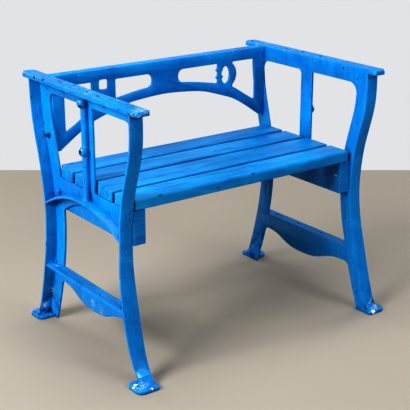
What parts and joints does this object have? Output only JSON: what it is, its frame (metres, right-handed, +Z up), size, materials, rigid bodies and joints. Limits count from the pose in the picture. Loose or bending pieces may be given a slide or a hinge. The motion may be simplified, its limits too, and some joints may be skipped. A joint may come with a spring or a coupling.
{
  "type": "bench",
  "caption": "Small garden bench with cast-iron end frames and arms, a fretted cast-iron back panel and timber seat planks on bolted battens",
  "frame": {"origin": "on the floor, in the middle of the four feet", "axes": "+X along the bench toward the sitter's left-hand end frame as the sitter faces forward, +Y from the front edge toward the back panel, +Z up"},
  "size_m": [0.8144, 0.5721, 0.68],
  "materials": {
    "painted_iron": "glossy blue brush-applied paint on cast iron, worn and chipped on edges",
    "painted_wood": "glossy blue brush-applied paint on softwood planks, worn along the grain",
    "painted_steel": "steel fasteners painted over in the same blue"
  },
  "bodies": {
    "root": {"left_end_frame": "painted_iron", "right_end_frame": "painted_iron", "back_panel": "painted_iron", "front_plank": "painted_wood", "second_plank": "painted_wood", "third_plank": "painted_wood", "rear_plank": "painted_wood", "left_batten": "painted_wood", "right_batten": "painted_wood", "batten_bolts": "painted_steel", "batten_nuts": "painted_steel", "panel_bolts": "painted_steel", "panel_screws": "painted_steel", "panel_nuts": "painted_steel", "plank_screws": "painted_steel"}
  },
  "joints": []
}
